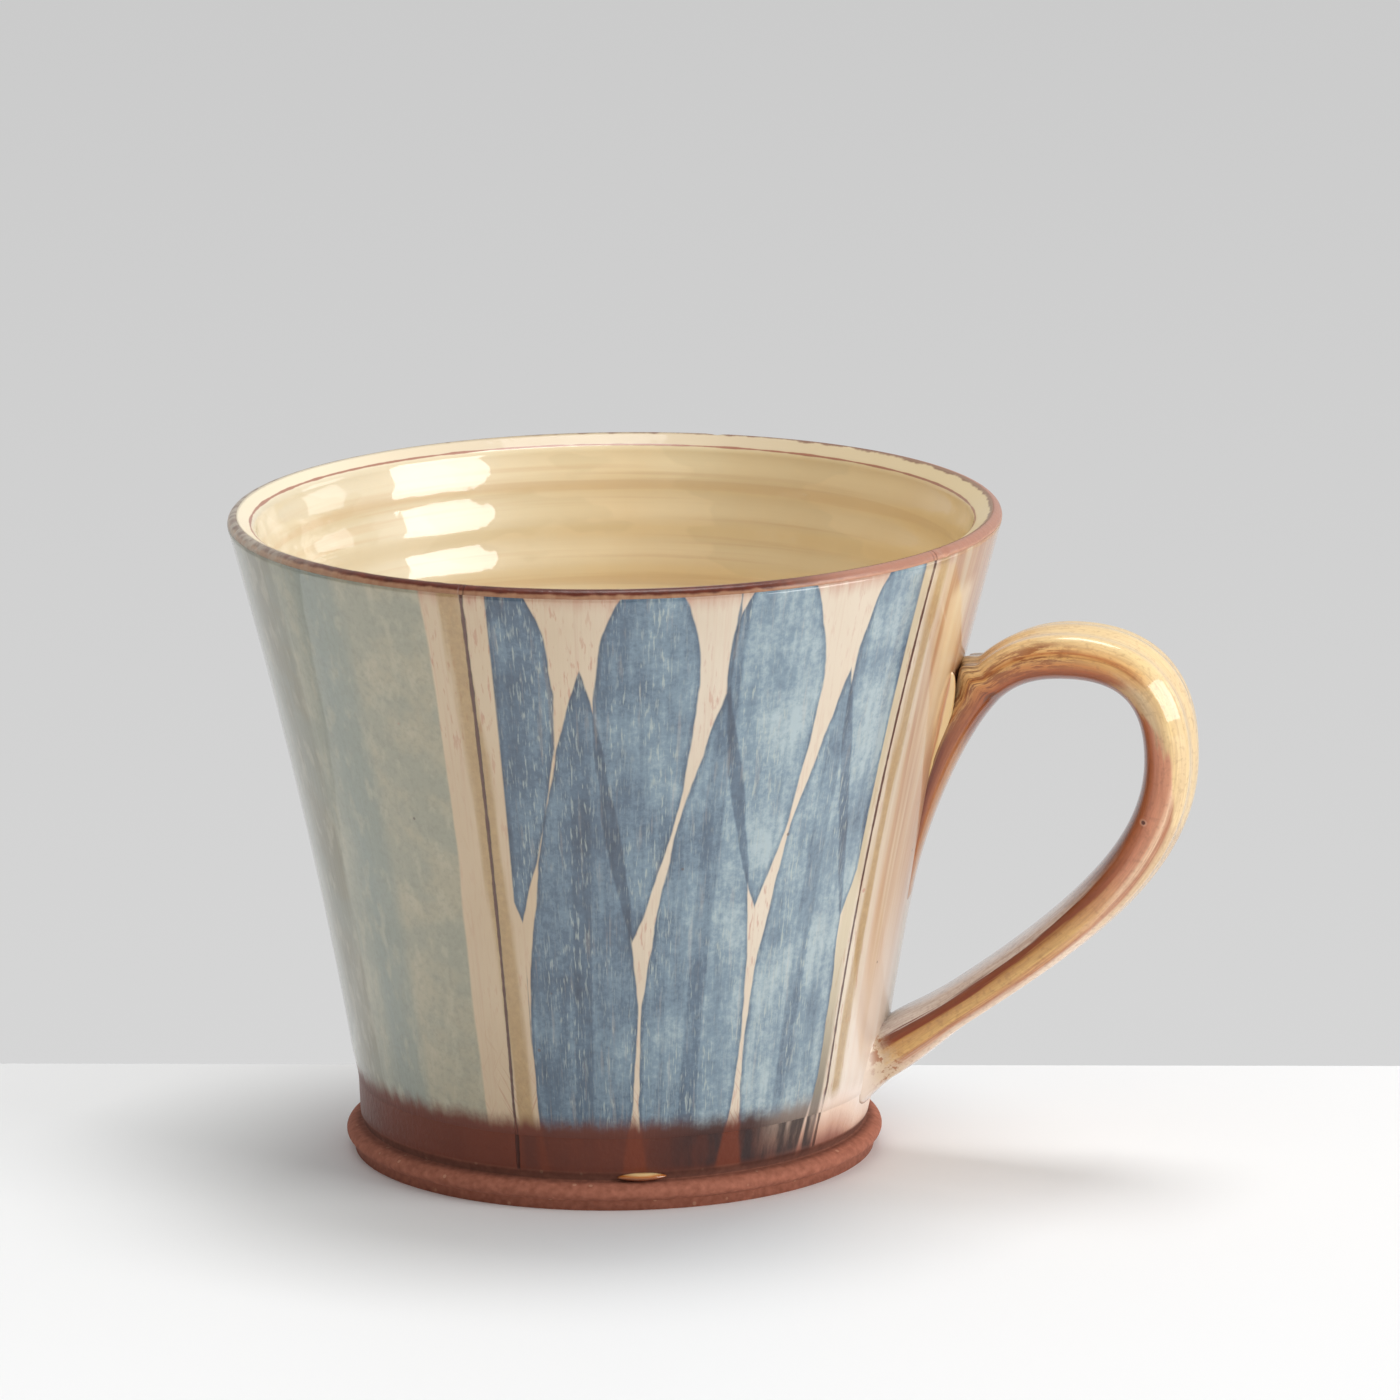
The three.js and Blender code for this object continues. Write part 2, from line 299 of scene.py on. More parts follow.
class Finish(Recipe):
    """The finish of a piece, laid out on the piece's own coordinates."""

    def __init__(self, name):
        super().__init__(bpy.data.materials.new(name))
        self.shader = self.nodes["Principled BSDF"]
        self.place = self.add("TexCoord", {}, output="Object")
        self.x, self.y, self.height = self.parts(self.place)
        self.colour = None

    def lay(self, share, tone, strength=None):
        """Lays a colour over the piece's own, where the share is and as strongly as it says."""
        self.colour = self.over(self.colour, share, tone, strength)

    def grain(self, scale, detail, roughness=0.5):
        return self.noise(self.place, scale, detail, roughness)

    def specks(self, scale, size, share):
        """Round specks, so large for their cell, in a share of the cells."""
        cells = self.add("TexVoronoi", {"Vector": self.place, "Scale": scale}).node.outputs
        near = self.fade(cells["Distance"], size * 0.6, size)
        return self.times(near, self.math("LESS_THAN", cells["Color"], share))

    def give(self, name, value):
        """Sets one of the shader's sockets, or links a node's result to it."""
        self.feed(self.shader.inputs[name], value)

    def glaze(self, scale, depth, cover=1):
        """A clear glaze over the finish, whose surface swells and dips by so much."""
        self.give("Coat Weight", cover)
        self.give("Coat Roughness", 0.05)
        self.give("Coat IOR", 1.57)
        self.give("Coat Normal", self.add("Bump", {"Height": self.grain(scale, 2), "Distance": depth}))

    def finish(self, roughness, height, depth):
        self.give("Base Color", self.colour)
        self.give("Roughness", roughness)
        self.give("Normal", self.add("Bump", {"Height": height, "Distance": depth}))
        return self.holder


brush_radius = 0.045
line_places = [math.radians(78.2), math.radians(150.2)]
line_leans = [0, 1]
leaf_foot = -0.006


class Brushwork(Finish):
    """A finish of the round wall, with brushwork measured from the side opposite the handle."""

    def __init__(self, name):
        super().__init__(name)
        bearing = self.math("ARCTAN2", self.y, self.times(self.x, -1))
        self.side = self.math("ABSOLUTE", bearing)
        self.half = self.math("SIGN", bearing)
        flat = self.scaled(self.place, 1, 1, 0)
        outward = self.vector("NORMALIZE", flat)
        wrapped = self.scaled(outward, brush_radius, brush_radius, 0)
        upright = self.scaled(self.place, 0, 0, 1)
        self.wall = self.vector("ADD", wrapped, upright)

    def streaks(self, across, along, detail=3.0):
        """Marks drawn out upright, so many a metre across the brush and along it."""
        return self.drawn(self.wall, (across, across, along), detail)

    def scratches(self, slope, fine, length, low, high):
        """Thin scratches that climb the wall at a slope."""
        run = self.times(self.side, brush_radius)
        across = self.nudged(self.height, slope, run)
        along = self.nudged(run, -slope, self.height)
        inputs = {"X": self.times(across, fine), "Y": self.times(along, length), "Z": self.half}
        spot = self.add("CombineXYZ", inputs)
        return self.step(self.noise(spot, 1, 2), low, high)

    def leaves(self, first, spacing, count, half_width, reach, seed, hangs=False):
        """How far a point is inside a row of tall brushed leaves, and how far beside a midrib."""
        row = self.math("DIVIDE", self.less(self.side, first), spacing)
        number = self.math("MINIMUM", self.math("MAXIMUM", self.math("ROUND", row), 0), count - 1)
        mark = self.nudged(self.half, 7, self.math("ADD", number, seed))
        luck = self.add("TexWhiteNoise", {"W": mark}, noise_dimensions="1D")
        length = self.nudged(luck, reach * 0.14, reach * 0.9)
        if hangs:
            grown = self.less(slip_top + 0.004, self.height)
        else:
            grown = self.less(self.height, leaf_foot)
        rise = self.math("DIVIDE", grown, length, clamp=True)
        swell = self.times(self.math("POWER", rise, 0.54), self.less(1, rise))
        beside = self.times(self.less(row, number), spacing * brush_radius)
        sway = self.times(self.less(luck, 0.5), 0.1)
        aside = self.nudged(self.less(grown, 0.03), sway, beside)
        short = self.times(self.math("ABSOLUTE", aside), -1)
        inside = self.nudged(swell, 2.71 * half_width, short)
        uneven_edge = self.nudged(self.streaks(160, 90, 3), 0.0018, inside)
        panel = self.less(self.beside_line(0), 0.06)
        panel = self.math("MINIMUM", panel, self.less(-0.036, self.beside_line(1)))
        panel = self.times(panel, brush_radius)
        return self.math("MINIMUM", self.less(uneven_edge, 0.0009), panel), aside

    def beside_line(self, number):
        """The turn from a scratched line, which leans a little as it climbs."""
        turn = self.less(self.side, line_places[number])
        return self.nudged(self.height, -line_leans[number], turn)

    def lines(self):
        """How far a point is beside the nearest line scratched from lip to foot."""
        away = [self.math("ABSOLUTE", self.beside_line(number)) for number in (0, 1)]
        nearest = self.times(self.math("MINIMUM", *away), brush_radius)
        return self.nudged(self.grain(500, 2), 0.0003, nearest)

    def ochre_stripes(self):
        """The two ochre stripes, one beside each scratched line."""
        return self.stripe(0, 0.063, -0.038, 0.03), self.stripe(1, 0.058, 0.045, 0.022)

    def khaki_stripe(self):
        return self.stripe(1, -0.05, -0.04, 0.03)

    def thin_slip(self):
        """Beside the handle the slip runs down to the foot's groove: its cover there and its colour."""
        wavy = self.nudged(self.streaks(500, 60), 0.0016, self.height)
        rise = self.share(wavy, groove_top, groove_top + 0.012)
        near = self.step(self.side, 2.75, 2.98, 0, 0.25)
        stops = [
            (0.05, 134, 82, 66), (0.15, 158, 108, 92), (0.28, 200, 156, 134), (0.48, 230, 202, 182),
            (0.7, 236, 220, 208),
        ]
        colour = self.ramp(self.math("ADD", rise, near), stops)
        beside = self.nudged(self.streaks(200, 30), 0.1, self.side)
        cover = self.step(beside, 2.33, 2.5)
        return self.times(cover, self.fade(rise, 0.8, 1)), colour

    def stripe(self, line, at_foot, at_lip, half_width):
        """The cover of a stripe that runs beside a scratched line, and may cross it."""
        slope = (at_lip - at_foot) / mug_height
        middle = self.nudged(self.height, slope, at_foot)
        away = self.away(self.beside_line(line), middle)
        worn = self.nudged(self.streaks(900, 60), 0.04, away)
        return self.fade(worn, half_width + 0.008, half_width + 0.034)


blue_row = (math.radians(94), math.radians(21.8), 3, 0.0084, 0.089, 3)
hanging_row = (math.radians(83.1), math.radians(21.8), 4, 0.0066, 0.052, 21)
wash_edge = math.radians(71.5)
burnished_clay = ((92, 42, 26), (130, 66, 46))


def lip_colour(clay):
    """Slip wiped thin up the lip's outside, red clay rubbed bare along its edge, and a painted grey sheen
    on its far side.
    """
    worn = clay.nudged(clay.grain(420, 4), -0.0007, clay.height)
    bare = clay.step(worn, mug_height - 0.0011, mug_height - 0.00075)
    red = clay.blend(clay.grain(700, 4), (38, 10, 4), (122, 50, 26))
    thin = clay.blend(clay.streaks(900, 80), (140, 84, 58), (192, 152, 118))
    colour = clay.blend(bare, thin, red)
    # Painted sheen: a pale grey mottle on the side of the lip away from the handle.
    mottle = clay.step(clay.grain(600, 5), 0.38, 0.62, 0.5, 1)
    far_side_sheen = clay.fade(clay.side, 0.5, 1.1, 0.85)
    colour = clay.over(colour, clay.times(mottle, far_side_sheen), (186, 176, 160))
    by_handle = clay.step(clay.side, 2.1, 2.45, 0, 0.55)
    return clay.over(colour, by_handle, (212, 158, 134))


def clay_finish():
    clay = Brushwork("red_clay")
    grain = clay.grain(1100, 5)
    cloud = clay.grain(90, 3)
    burnished = clay.step(clay.height, groove_top, groove_top + 0.0006)
    below_lip = clay.fade(clay.height, 0.03, 0.05)
    bare = clay.blend(grain, (120, 66, 48), (194, 124, 100))
    smooth = clay.blend(cloud, *burnished_clay)
    clay.colour = clay.blend(burnished, bare, smooth)
    pale = clay.specks(900, 0.3, 0.2)
    pale = clay.times(pale, clay.less(0.5, clay.times(burnished, 0.5)))
    clay.lay(pale, (206, 156, 128))
    cover, slip = clay.thin_slip()
    clay.lay(clay.times(cover, burnished), slip)
    inside, _ = clay.leaves(*blue_row)
    ochre, _ = clay.ochre_stripes()
    striped = clay.math("MAXIMUM", ochre, clay.khaki_stripe())
    dark = clay.math("MAXIMUM", clay.step(inside, 0, 0.0008), striped)
    brushed = clay.step(clay.streaks(500, 120, 4), 0.3, 0.6, 0.6, 0.95)
    brushed = clay.times(brushed, clay.step(clay.side, 1.8, 2.15, 0.35, 1))
    faded = clay.step(clay.nudged(cloud, 0.002, clay.height), groove_top, groove_top + 0.0024)
    dark = clay.times(clay.times(dark, brushed), clay.times(faded, below_lip))
    clay.lay(dark, (52, 42, 42))
    groove = clay.times(clay.fade(clay.lines(), 0.0003, 0.0006), burnished)
    clay.lay(groove, (56, 26, 20), 0.8)
    # Painted shade: the groove just over the bead is darkened.
    groove_shade_band = clay.step(clay.height, bead_height - 0.0003, bead_height + 0.0002)
    corner = clay.times(groove_shade_band, clay.less(1, burnished))
    clay.lay(corner, (50, 24, 18), 0.7)
    at_lip = clay.step(clay.height, slip_top - 0.001, slip_top)
    clay.lay(at_lip, lip_colour(clay))
    height = clay.nudged(groove, -3, grain)
    roughness = clay.step(burnished, 0, 1, 0.82, 0.36)
    clay.glaze(300, 0.0001, clay.times(at_lip, 0.12))
    clay.give("Specular IOR Level", 0.3)
    return clay.finish(roughness, height, 0.0001)


body = turned("body_pot", body_profile(), 512)
seat_piece(body, "red_earthenware", clay_finish(), "body")


# The handle is one strap of clay, pulled to length by wet hands and ridged by the fingers. Its
# root runs a long way down the wall, and its lower end is pressed on just above the foot. Slip
# was wiped along it in bands under the glaze. The bands' colours also hold painted shade under
# the crown and painted light on the lower run's upper face.
tail_height = 0.036
tail_rise = 0.024
root_height = 0.060
crown_reach = 0.062
crown_height = 0.0706
crown_approach = 0.0125
crown_spread = 0.0095
grip_reach = 0.0756
grip_height = 0.0565
grip_rise = 0.009
grip_fall = 0.0175
heel_height = 0.0129
heel_slope = math.radians(35)
heel_run = 0.024
heel_depth = 0.0012
tail_thickness = 0.0016
up = Vector((0, 0, 1))


def bezier(corners, share):
    """A point on a cubic curve, by halving between its corners."""
    while len(corners) > 1:
        corners = [first.lerp(second, share) for first, second in zip(corners, corners[1:])]
    return corners[0]


def strap_line(steps):
    """Points an even way apart on the strap's centreline, from its tail to its heel."""
    lean = (wall_radius(tail_height + 0.001) - wall_radius(tail_height)) / 0.001
    tail_x = wall_radius(tail_height) - tail_thickness / 2 + slip_thickness
    tail = Vector((tail_x, 0, tail_height))
    crown = Vector((crown_reach, 0, crown_height))
    grip = Vector((grip_reach, 0, grip_height))
    heel = Vector((wall_radius(heel_height) - heel_depth, 0, heel_height))
    heel_aim = Vector((math.cos(heel_slope), 0, math.sin(heel_slope)))
    out = Vector((1, 0, 0))
    curves = [
        [tail, tail + Vector((lean, 0, 1)) * tail_rise, crown - out * crown_approach, crown],
        [crown, crown + out * crown_spread, grip + up * grip_rise, grip],
        [grip, grip - up * grip_fall, heel + heel_aim * heel_run, heel],
    ]
    curve_steps = 200
    fine = [bezier(curve, step / curve_steps) for curve in curves for step in range(curve_steps)]
    fine.append(heel)
    lengths = [0]
    for before, after in zip(fine, fine[1:]):
        lengths.append(lengths[-1] + (after - before).length)
    line = []
    at = 0
    for share in levels(0, 1, steps):
        while at < len(lengths) - 2 and lengths[at + 1] < share * lengths[-1]:
            at += 1
        part = (share * lengths[-1] - lengths[at]) / (lengths[at + 1] - lengths[at])
        line.append(fine[at].lerp(fine[at + 1], part))
    return line, [lengths[curve_steps] / lengths[-1], lengths[2 * curve_steps] / lengths[-1]]


strap_steps = 340
strap_corners = 72
strap_ridge = 0.07
strap, (crown_share, grip_share) = strap_line(strap_steps)
strap_length = 0.125
pinhole_share = 0.585
crease_share = 0.252
web_top = 0.0692
web_softness = 0.0003
horn_start = strap_steps - 30
horn_tilt = 0.7
root_share = crown_share * (root_height - tail_height) / (crown_height - tail_height)
strap_stations = [
    (0, 0.006, tail_thickness), (root_share, 0.0125, 0.0058), (crown_share, 0.014, 0.0068),
    (grip_share, 0.014, 0.0069), (0.88, 0.0128, 0.0056), (1, 0.0135, 0.008),
]


def along_strap(share, size):
    """The strap's width (1) or thickness (2) at a share of its length."""
    after = next(number for number, station in enumerate(strap_stations) if station[0] >= min(share, 1))
    before, station = strap_stations[max(after - 1, 0)], strap_stations[after]
    ease = eased(before[0], station[0], share) if after else 0
    return mixed(before[size], station[size], ease)


def oval(steps, ridge):
    """A section 1 wide and 1 thick: a full oval, ridged along its outer face and thumbed flat beside it."""
    corners = []
    for step in range(steps):
        turn = math.tau * step / steps
        across, out = math.cos(turn), math.sin(turn)
        across = math.copysign(abs(across) ** 0.8, across)
        out = math.copysign(abs(out) ** 0.75, out)
        ridges = ridge * math.cos(across * math.pi * 2.6) * (1 - across ** 4) if out > 0 else 0
        over = max(0.9 * abs(across) + 0.444 * out - 1, 0)
        pressed = over ** 2 / (over + 0.03)
        across -= math.copysign(0.556 * pressed, across)
        out -= 1.127 * pressed
        corners.append((across / 2, (out + ridges) / 2))
    return corners


def strap_ways(step):
    """The directions out of the strap's back and along it, at a step."""
    along = (strap[min(step + 1, strap_steps)] - strap[max(step - 1, 0)]).normalized()
    return Vector((-along.z, 0, along.x)), along


def strap_place(step, wider=1, thicker=1):
    """The matrix that takes a flat section to its place on the strap, and may swell it there."""
    share = step / strap_steps
    turn = Matrix((Vector((0, 1, 0)), *strap_ways(step))).transposed().to_4x4()
    lowered = max(step - horn_start, 0) / (strap_steps - horn_start)
    tilt = Matrix.Rotation(horn_tilt * lowered ** 1.6, 4, "X")
    size = Matrix.Diagonal((along_strap(share, 1) * wider, along_strap(share, 2) * thicker, 1, 1))
    return Matrix.Translation(strap[step]) @ turn @ tilt @ size


def lofted(name, section, places):
    """Draws a closed section through a row of places, and notes where each point lies in it."""
    bm = bmesh.new()
    ring = [bm.verts.new((across, out, 0)) for across, out in section]
    edges = [bm.edges.new(pair) for pair in zip(ring, ring[1:] + ring[:1])]
    bmesh.ops.transform(bm, matrix=places[0], verts=ring)
    bmesh.ops.contextual_create(bm, geom=edges)
    for before, place in zip(places, places[1:]):
        grown = bmesh.ops.extrude_edge_only(bm, edges=edges)["geom"]
        ring = [part for part in grown if isinstance(part, bmesh.types.BMVert)]
        edges = [part for part in grown if isinstance(part, bmesh.types.BMEdge)]
        edges = [edge for edge in edges if all(vert in ring for vert in edge.verts)]
        bmesh.ops.transform(bm, matrix=place @ before.inverted(), verts=ring)
    bmesh.ops.contextual_create(bm, geom=edges)
    piece = finished(name, bm)
    lay = piece.data.attributes.new("lay", "FLOAT_VECTOR", "POINT")
    for number, value in enumerate(lay.data):
        step, corner = divmod(number, len(section))
        across, out = section[corner]
        value.vector = (across * 2, out * 2, step / (len(places) - 1))
    return piece


def worked_back(step):
    """The strap's place at a step. Its back is drawn out to the wall over the root, to a flat top."""
    thickness = along_strap(step / strap_steps, 2)
    outward, _ = strap_ways(step)
    back = strap[step] + outward * thickness / 2
    gap = back.x - wall_radius(back.z) - slip_thickness
    if gap <= 0 or back.z > web_top or step > crown_share * strap_steps:
        return strap_place(step)
    to_wall, to_top = -gap / outward.x, (web_top - back.z) / outward.z
    softer = math.hypot(to_wall - to_top, 2 * web_softness)
    drawn = max((to_wall + to_top - softer) / 2, 0)
    return Matrix.Translation(outward * drawn / 2) @ strap_place(step, 1, 1 + drawn / thickness)


def pulled_strap():
    """The strap, its section turned at the heel until it lies on the wall."""
    places = [worked_back(step) for step in range(strap_steps + 1)]
    return lofted("pulled_strap", oval(strap_corners, strap_ridge), places)


def strap_finish(name, start=0):
    """Bands of slip wiped along the strap, with painted shade under the crown and painted light on the
    lower run's upper face, for a piece that lies on it from a share of its length.
    """
    slip = Finish(name)
    lay = slip.add("Attribute", {}, output="Vector", attribute_name="lay")
    lay = slip.vector("ADD", slip.scaled(lay, 1, 1, 1 - start), (0, 0, start))
    across, out, along = slip.parts(lay)
    broad = slip.drawn(lay, (3, 2.4, 6), 3)
    fine = slip.drawn(lay, (26, 12, 16), 4)
    patch = slip.drawn(lay, (1.2, 1, 9), 3)
    drift = slip.nudged(broad, 0.5, slip.nudged(fine, 0.25, out))
    spot = slip.nudged(drift, 0.5, 0.3125)
    root = [
        (0, 202, 142, 80), (0.25, 168, 98, 54), (0.45, 134, 62, 28), (0.55, 112, 46, 20),
        (0.66, 232, 192, 138), (0.8, 246, 222, 174),
    ]
    # The crown's first, darkest stops lie on its inner face, which faces down: red clay and painted shade.
    crown = [
        (0, 148, 74, 30), (0.12, 122, 50, 16), (0.3, 176, 92, 36), (0.45, 212, 140, 72),
        (0.55, 230, 176, 104), (0.63, 194, 124, 64), (0.72, 228, 180, 114), (0.86, 240, 210, 152),
    ]
    shoulder = [
        (0, 150, 84, 48), (0.1, 150, 84, 42), (0.2, 214, 178, 132), (0.42, 222, 192, 146),
        (0.55, 232, 196, 140), (0.68, 238, 206, 146), (0.86, 240, 210, 158),
    ]
    grip = [
        (0, 176, 104, 64), (0.1, 122, 54, 26), (0.22, 184, 104, 66), (0.42, 216, 140, 102),
        (0.6, 218, 152, 116), (0.7, 234, 196, 160), (0.78, 180, 112, 72), (0.88, 222, 190, 146),
    ]
    # Painted light: the lower run's first, near-white stops lie on its inner face, which faces up.
    lower = [
        (0, 246, 240, 236), (0.16, 236, 224, 212), (0.195, 120, 52, 26), (0.32, 146, 68, 34),
        (0.37, 206, 150, 82), (0.64, 226, 180, 108), (0.74, 192, 124, 82), (0.84, 242, 216, 190),
    ]
    shifted = slip.nudged(patch, 0.16, along)
    slip.colour = slip.ramp(spot, root)
    slanted = slip.nudged(spot, -0.15, slip.math("ADD", shifted, 0.07))
    bands = (
        (crown, shifted, 0.24, 0.34), (shoulder, shifted, 0.48, 0.53),
        (grip, slanted, 0.58, 0.6), (lower, shifted, 0.7, 0.84),
    )
    for band, way, low, high in bands:
        slip.lay(slip.step(way, low, high), slip.ramp(spot, band))
    on_top = slip.times(slip.step(out, 0.2, 0.4), slip.step(along, 0.4, 0.46))
    on_top = slip.times(on_top, slip.fade(along, 0.56, 0.64))
    for middle in (0.46, 0.66):
        away = slip.away(across, middle)
        mark = slip.fade(slip.nudged(fine, 0.04, away), 0.03, 0.05, 0.4)
        slip.lay(slip.times(mark, on_top), (116, 68, 38))
    feathered = slip.drawn(lay, (9, 6, 34), 5, 0.7)
    smear = slip.times(slip.step(feathered, 0.44, 0.56), slip.step(shifted, 0.22, 0.3))
    smear = slip.times(smear, slip.step(shifted, 0.4, 0.47, 0.8, 0.15))
    smear = slip.times(smear, slip.step(out, 0.5, 0.9, 1, 0.2))
    slip.lay(smear, (146, 74, 30))
    crease = slip.away(along, crease_share)
    crease = slip.times(slip.fade(crease, 0.004, 0.014, 0.7), slip.step(feathered, 0.46, 0.6))
    slip.lay(crease, (104, 58, 34))
    streak = slip.step(fine, 0.4, 0.7, 0, 0.18)
    slip.colour = slip.blend(streak, slip.colour, (150, 92, 62), "MULTIPLY")
    slip.lay(slip.step(slip.grain(1500, 4), 0.5, 0.7, 0, 0.22), (132, 72, 44))
    slip.lay(slip.specks(420, 0.2, 0.05), (84, 48, 34), 0.7)
    pin_place = slip.scaled(lay, 0, 0.003, strap_length)
    pin_middle = (0, -0.0012, pinhole_share * strap_length)
    pin = slip.vector("DISTANCE", pin_place, pin_middle, output="Value")
    camera_side = slip.fade(across, -0.1, 0.1)
    ring = slip.times(slip.fade(pin, 0.00035, 0.0006), camera_side)
    slip.lay(ring, (226, 176, 148), 0.5)
    hole = slip.times(slip.fade(pin, 0.0002, 0.0003), camera_side)
    slip.lay(hole, (112, 62, 46))
    flecks = slip.grain(700, 5, 0.7)
    faded = slip.nudged(flecks, 0.05, slip.nudged(out, 0.012, along))
    cream = slip.blend(slip.step(flecks, 0.5, 0.6), (224, 198, 166), (176, 116, 76))
    cream = slip.over(cream, slip.step(along, 0.975, 0.995), (236, 216, 198))
    slip.lay(slip.step(faded, 0.976, 1.004), cream)
    height = slip.nudged(hole, -3, fine)
    slip.glaze(110, 0.00008)
    slip.give("Coat IOR", 1.5)
    slip.give("Specular IOR Level", 0.3)
    return slip.finish(0.4, height, 0.00005)


handle = pulled_strap()
seat_piece(handle, "streaked_slip", strap_finish("streaked_strap_glaze"), "handle")


# Soft clay is worked into the long corners between the handle's root and the wall, one on the
# camera's side and one beyond it. A finger drew each to a smooth hollow, and the cream slip and
# its glaze run over them.
corner_foot = 0.037
corner_width = 0.0014
corner_rise = 0.0019


def strap_foot_step(height):
    """The step at which the strap's root has climbed to a height."""
    return next(step for step, spot in enumerate(strap) if spot.z >= height)


def worked_corner(name, side, top):
    """A hollow wedge of clay that fills the corner on one side of the root, and thins at its ends."""
    hollow = [(share, (1 - share) ** 2.2) for share in levels(1, 0, 8)]
    section = [(1.1, -0.3), *hollow, (-0.6, 1), (-0.6, -0.5)]
    places = []
    for share in levels(0, 1, 48):
        height = mixed(corner_foot, top, share)
        step = strap_foot_step(height)
        slope = wall_radius(height + 0.001) - wall_radius(height)
        surface = wall_radius(height) + slip_thickness / 2
        half = along_strap(step / strap_steps, 1) / 2 * 0.95
        swell = (1.25 * share ** 0.8 * (1 - share ** 6)) ** 0.6
        rise = min(strap[step].x - surface, corner_rise) * 0.9 * swell + 0.0001
        width = corner_width * swell + 0.0003
        out = Vector((0.001, 0, -slope)).normalized()
        axes = Matrix((Vector((0, side, 0)), out, up)).transposed().to_4x4()
        drop = surface - math.sqrt(surface ** 2 - half ** 2)
        origin = Vector((surface - drop - 0.0001, side * half, height))
        places.append(Matrix.Translation(origin) @ axes @ Matrix.Diagonal((width, rise, 1, 1)))
    return lofted(name, section, places)


def worked_slip_finish():
    """Slip over the worked clay: streaked up the root, and cream round the heel."""
    slip = Finish("worked_slip_glaze")
    lay = slip.add("Attribute", {}, output="Vector", attribute_name="lay")
    across = slip.parts(lay)[0]
    cloud = slip.drawn(slip.place, (500, 500, 50), 4)
    spot = slip.nudged(cloud, 0.3, slip.times(across, 0.4))
    streaked = [
        (0.1, 150, 88, 60), (0.2, 224, 188, 128), (0.42, 220, 184, 126), (0.52, 186, 128, 86),
        (0.7, 204, 156, 114), (0.95, 212, 180, 140),
    ]
    cream = slip.blend(cloud, (238, 220, 198), (222, 186, 154))
    slip.colour = slip.blend(slip.step(slip.height, 0.024, 0.03), cream, slip.ramp(spot, streaked))
    slip.lay(slip.specks(420, 0.16, 0.06), (84, 50, 36), 0.7)
    slip.glaze(110, 0.0002)
    return slip.finish(0.4, cloud, 0.00006)


worked_slip = worked_slip_finish()
near_corner = worked_corner("near_worked_corner", -1, 0.0688)
seat_piece(near_corner, "cream_slip", worked_slip, "near_seam_coil")
far_corner = worked_corner("far_worked_corner", 1, 0.0655)
seat_piece(far_corner, "cream_slip", worked_slip, "far_seam_coil")


# A collar of soft clay is smeared round the handle's lower end, and spreads like the mouth of a
# horn onto the wall.
collar_flare = (0.4, 1.1)
collar_lift = 0.0021


def smeared_collar():
    """A horn round the strap's end, whose mouth lies on the wall."""
    places = []
    for step in range(horn_start, strap_steps + 1):
        share = (step - horn_start) / (strap_steps - horn_start)
        flare = share ** 8
        wider, thicker = 0.98 + collar_flare[0] * flare, 0.97 + collar_flare[1] * flare
        raised = Matrix.Translation((0, 0, collar_lift * flare))
        places.append(raised @ strap_place(step, wider, thicker))
    return lofted("smeared_collar", oval(strap_corners, 0), places)


collar = smeared_collar()
seat_piece(
    collar, "cream_slip", strap_finish("collar_glaze", horn_start / strap_steps), "lower_joint_pad"
)


# The outer coat is cream slip, brushed on upright, painted and glazed. It thins to a ragged edge
# above the foot, and the lip's rubbed edge stands bare over it.
slip_thins_over = 0.005


def outer_coat_profile():
    back = [(wall_radius(z) - 0.0001, z) for z in levels(slip_top, slip_edge, 12)]
    heights = levels(slip_edge + 0.0002, slip_top - 0.0002, 80)
    thick = [slip_thickness * eased(slip_edge - 0.001, slip_edge + slip_thins_over, z) for z in heights]
    front = [(wall_radius(z) + coat, z) for z, coat in zip(heights, thick)]
    return [*back, *front, (lip_radius + 0.00002, mug_height - lip_round)]


